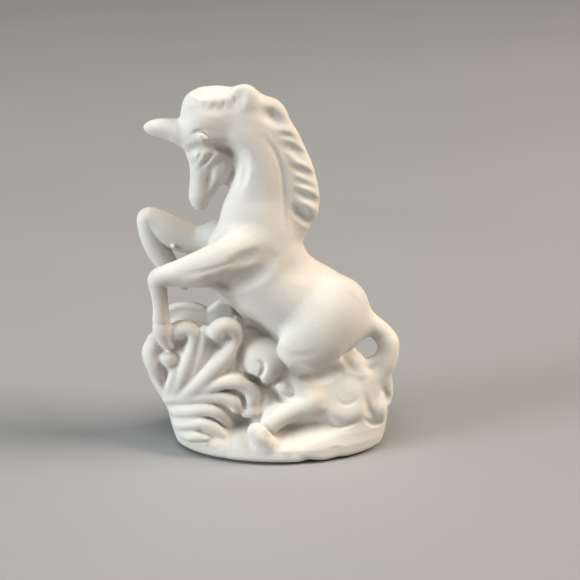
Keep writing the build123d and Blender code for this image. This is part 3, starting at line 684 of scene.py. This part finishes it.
def surface_net(val):
    s = val < 0
    corners = np.zeros(tuple(k - 1 for k in s.shape), np.int8)
    for i in (0, 1):
        for j in (0, 1):
            for k in (0, 1):
                corners += s[i:s.shape[0] - 1 + i, j:s.shape[1] - 1 + j, k:s.shape[2] - 1 + k]
    active = (corners > 0) & (corners < 8)
    index = np.full(active.shape, -1, np.int32)
    count = int(active.sum())
    index[active] = np.arange(count)
    total, weight, quads = np.zeros((count, 3)), np.zeros(count), []
    for axis in range(3):
        a = np.moveaxis(s, axis, 0)
        cross = a[:-1] != a[1:]
        ijk = np.argwhere(cross)
        node = np.empty_like(ijk)
        order = [axis] + [k for k in range(3) if k != axis]
        for c, k in enumerate(order):
            node[:, k] = ijk[:, c]
        step = np.zeros(3, int)
        step[axis] = 1
        va = val[tuple(node.T)].astype(float)
        vb = val[tuple((node + step).T)].astype(float)
        t = va / (va - vb)
        point = node.astype(float)
        point[:, axis] += t
        b, c = (axis + 1) % 3, (axis + 2) % 3
        cells = []
        for ob, oc in ((-1, -1), (0, -1), (0, 0), (-1, 0)):
            cell = node.copy()
            cell[:, b] += ob
            cell[:, c] += oc
            ok = ((cell >= 0) & (cell < np.array(active.shape))).all(1)
            ids = np.full(len(cell), -1, np.int32)
            ids[ok] = index[tuple(cell[ok].T)]
            cells.append(ids)
            use = ids >= 0
            for k in range(3):
                total[:, k] += np.bincount(ids[use], point[use, k], count)
            weight += np.bincount(ids[use], minlength=count)
        q = np.stack(cells, 1)
        keep = (q >= 0).all(1)
        q, inside = q[keep], (va < 0)[keep]
        q[~inside] = q[~inside][:, ::-1]
        quads.append(q)
    return total / weight[:, None], np.vstack(quads)


def casting(name, h):
    lat, whole, cell = fields_for(name, h)
    p, quads = surface_net(np.maximum(whole, cell))
    for _ in range(5):
        fw, fc = sample(whole, p), sample(cell, p)
        gw, gc = gradient(whole, p, h), gradient(cell, p, h)
        move = np.zeros_like(p)
        aw, ac = (gw * gw).sum(1) + 1e-3, (gc * gc).sum(1) + 1e-3
        seam = (np.abs(fw) / np.sqrt(aw) < 0.9 * h) & (np.abs(fc) / np.sqrt(ac) < 0.9 * h)
        dot = (gw * gc).sum(1)
        det = aw * ac - dot * dot
        seam &= det > 0.08 * aw * ac
        wall = ~seam & (fw < fc) & (fw / np.sqrt(aw) < -0.7 * h)
        out = ~seam & ~wall
        move[out] = -(fw[out] / aw[out])[:, None] * gw[out]
        move[wall] = -(fc[wall] / ac[wall])[:, None] * gc[wall]
        la = (-fw * ac + fc * dot)[seam] / det[seam]
        lb = (-fc * aw + fw * dot)[seam] / det[seam]
        move[seam] = la[:, None] * gw[seam] + lb[:, None] * gc[seam]
        length = np.linalg.norm(move, axis=1)
        move *= np.minimum(1.0, 0.5 * h / np.maximum(length, 1e-9))[:, None]
        p = p + move / h
    co = (lat.lo + p * h) * 0.001
    co[:, 2] = np.maximum(co[:, 2], 0.0)  # the foot ring stands level
    mesh = bpy.data.meshes.new(name + "_casting")
    mesh.vertices.add(len(co))
    mesh.vertices.foreach_set("co", co.astype(np.float32).ravel())
    mesh.loops.add(quads.size)
    mesh.loops.foreach_set("vertex_index", quads.astype(np.int32).ravel())
    mesh.polygons.add(len(quads))
    mesh.polygons.foreach_set("loop_start", np.arange(0, quads.size, 4, dtype=np.int32))
    mesh.polygons.foreach_set("loop_total", np.full(len(quads), 4, np.int32))
    mesh.polygons.foreach_set("use_smooth", np.ones(len(quads), bool))
    mesh.update(calc_edges=True)
    mesh.validate()
    mesh.set_sharp_from_angle(angle=math.radians(52))
    obj = bpy.data.objects.new(name + "_casting", mesh)
    bpy.context.scene.collection.objects.link(obj)
    return obj


# ------------------------------------------------------------------ material
def bisque():
    m = bpy.data.materials.new("bisque_porcelain")
    m.use_nodes = True
    nt = m.node_tree
    nt.nodes.clear()
    out = nt.nodes.new("ShaderNodeOutputMaterial")
    bsdf = nt.nodes.new("ShaderNodeBsdfPrincipled")
    nt.links.new(bsdf.outputs["BSDF"], out.inputs["Surface"])
    pos = nt.nodes.new("ShaderNodeTexCoord")

    cloud = nt.nodes.new("ShaderNodeTexNoise")
    cloud.inputs["Scale"].default_value = 90.0
    cloud.inputs["Detail"].default_value = 5.0
    cloud.inputs["Roughness"].default_value = 0.6
    nt.links.new(pos.outputs["Object"], cloud.inputs["Vector"])
    ramp = nt.nodes.new("ShaderNodeValToRGB")
    ramp.color_ramp.elements[0].position = 0.3
    ramp.color_ramp.elements[0].color = (0.72, 0.687, 0.642, 1)
    ramp.color_ramp.elements[1].position = 0.72
    ramp.color_ramp.elements[1].color = (0.80, 0.771, 0.728, 1)
    nt.links.new(cloud.outputs["Fac"], ramp.inputs["Fac"])

    specks = nt.nodes.new("ShaderNodeTexNoise")
    specks.inputs["Scale"].default_value = 1500.0
    specks.inputs["Detail"].default_value = 2.0
    nt.links.new(pos.outputs["Object"], specks.inputs["Vector"])
    pick = nt.nodes.new("ShaderNodeMapRange")
    pick.inputs["From Min"].default_value = 0.70
    pick.inputs["From Max"].default_value = 0.80
    pick.inputs["To Max"].default_value = 0.25
    nt.links.new(specks.outputs["Fac"], pick.inputs["Value"])
    mix = nt.nodes.new("ShaderNodeMix")
    mix.data_type = "RGBA"
    mix.inputs["B"].default_value = (0.52, 0.47, 0.40, 1)
    nt.links.new(pick.outputs["Result"], mix.inputs["Factor"])
    nt.links.new(ramp.outputs["Color"], mix.inputs["A"])
    nt.links.new(mix.outputs["Result"], bsdf.inputs["Base Color"])

    grain = nt.nodes.new("ShaderNodeTexNoise")
    grain.inputs["Scale"].default_value = 2600.0
    grain.inputs["Detail"].default_value = 3.0
    nt.links.new(pos.outputs["Object"], grain.inputs["Vector"])
    lumps = nt.nodes.new("ShaderNodeTexNoise")
    lumps.inputs["Scale"].default_value = 420.0
    lumps.inputs["Detail"].default_value = 3.0
    nt.links.new(pos.outputs["Object"], lumps.inputs["Vector"])
    both = nt.nodes.new("ShaderNodeMath")
    both.operation = "MULTIPLY_ADD"
    both.inputs[1].default_value = 0.45
    nt.links.new(grain.outputs["Fac"], both.inputs[0])
    nt.links.new(lumps.outputs["Fac"], both.inputs[2])
    bump = nt.nodes.new("ShaderNodeBump")
    bump.inputs["Strength"].default_value = 0.35
    bump.inputs["Distance"].default_value = 0.00012
    nt.links.new(both.outputs["Value"], bump.inputs["Height"])
    nt.links.new(bump.outputs["Normal"], bsdf.inputs["Normal"])

    rough = nt.nodes.new("ShaderNodeMapRange")
    rough.inputs["To Min"].default_value = 0.62
    rough.inputs["To Max"].default_value = 0.82
    nt.links.new(lumps.outputs["Fac"], rough.inputs["Value"])
    nt.links.new(rough.outputs["Result"], bsdf.inputs["Roughness"])
    bsdf.inputs["Specular IOR Level"].default_value = 0.35
    bsdf.inputs["Subsurface Weight"].default_value = 0.05
    bsdf.inputs["Subsurface Radius"].default_value = (0.9, 0.8, 0.7)
    bsdf.inputs["Subsurface Scale"].default_value = 0.0004
    return m


MAT = bisque()
for name in PIECES:
    h = FINE.get(name, COARSE)
    obj = casting(name, h * (1.0))
    obj.data.materials.append(MAT)
    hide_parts(name)
    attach(obj, "root")

# ------------------------------------------------------------------ floor, light, camera
floor_mesh = bpy.data.meshes.new("floor")
floor_mesh.from_pydata([(-3, -3, 0), (3, -3, 0), (3, 3, 0), (-3, 3, 0)], [], [(0, 1, 2, 3)])
floor = bpy.data.objects.new("floor", floor_mesh)
bpy.context.scene.collection.objects.link(floor)
fm = bpy.data.materials.new("pale_floor")
fm.use_nodes = True
fb = fm.node_tree.nodes["Principled BSDF"]
fn = fm.node_tree.nodes.new("ShaderNodeTexNoise")
fn.inputs["Scale"].default_value = 60.0
fr = fm.node_tree.nodes.new("ShaderNodeValToRGB")
fr.color_ramp.elements[0].color = (0.39, 0.393, 0.40, 1)
fr.color_ramp.elements[1].color = (0.42, 0.423, 0.43, 1)
fm.node_tree.links.new(fn.outputs["Fac"], fr.inputs["Fac"])
fm.node_tree.links.new(fr.outputs["Color"], fb.inputs["Base Color"])
fb.inputs["Roughness"].default_value = 0.8
floor_mesh.materials.append(fm)


def area(name, place, aim, size, power, colour):
    light = bpy.data.lights.new(name, "AREA")
    light.shape = "DISK"
    light.size = size
    light.energy = power
    light.color = colour
    obj = bpy.data.objects.new(name, light)
    obj.location = place
    obj.rotation_euler = (Vector(aim) - Vector(place)).to_track_quat("-Z", "Y").to_euler()
    bpy.context.scene.collection.objects.link(obj)


MID = (0.0, 0.0, 0.04)
area("key", (-0.18, -0.40, 1.76), MID, 1.30, 17.8, (1.0, 0.97, 0.925))
area("left_light", (-1.56, -0.66, 0.52), MID, 0.90, 25.8, (0.87, 0.965, 1.0))
area("right_light", (1.36, -0.14, 1.20), MID, 0.90, 31.0, (1.0, 0.88, 0.75))

world = bpy.data.worlds.new("studio")
world.use_nodes = True
world.node_tree.nodes["Background"].inputs["Color"].default_value = (0.95, 1.0, 0.98, 1)
world.node_tree.nodes["Background"].inputs["Strength"].default_value = 0.05
bpy.context.scene.world = world

bpy.context.scene.view_settings.view_transform = "Standard"
bpy.context.scene.view_settings.gamma = 0.80

cam_data = bpy.data.cameras.new("camera")
cam_data.sensor_width = 36.0
cam_data.sensor_fit = "HORIZONTAL"
cam_data.lens = FOCAL / 580.0 * 36.0
cam_data.clip_start = 0.01
cam = bpy.data.objects.new("camera", cam_data)
cam.location = EYE * 0.001
cam.rotation_euler = (math.pi / 2 - ELEV, 0.0, 0.0)
bpy.context.scene.collection.objects.link(cam)
bpy.context.scene.camera = cam
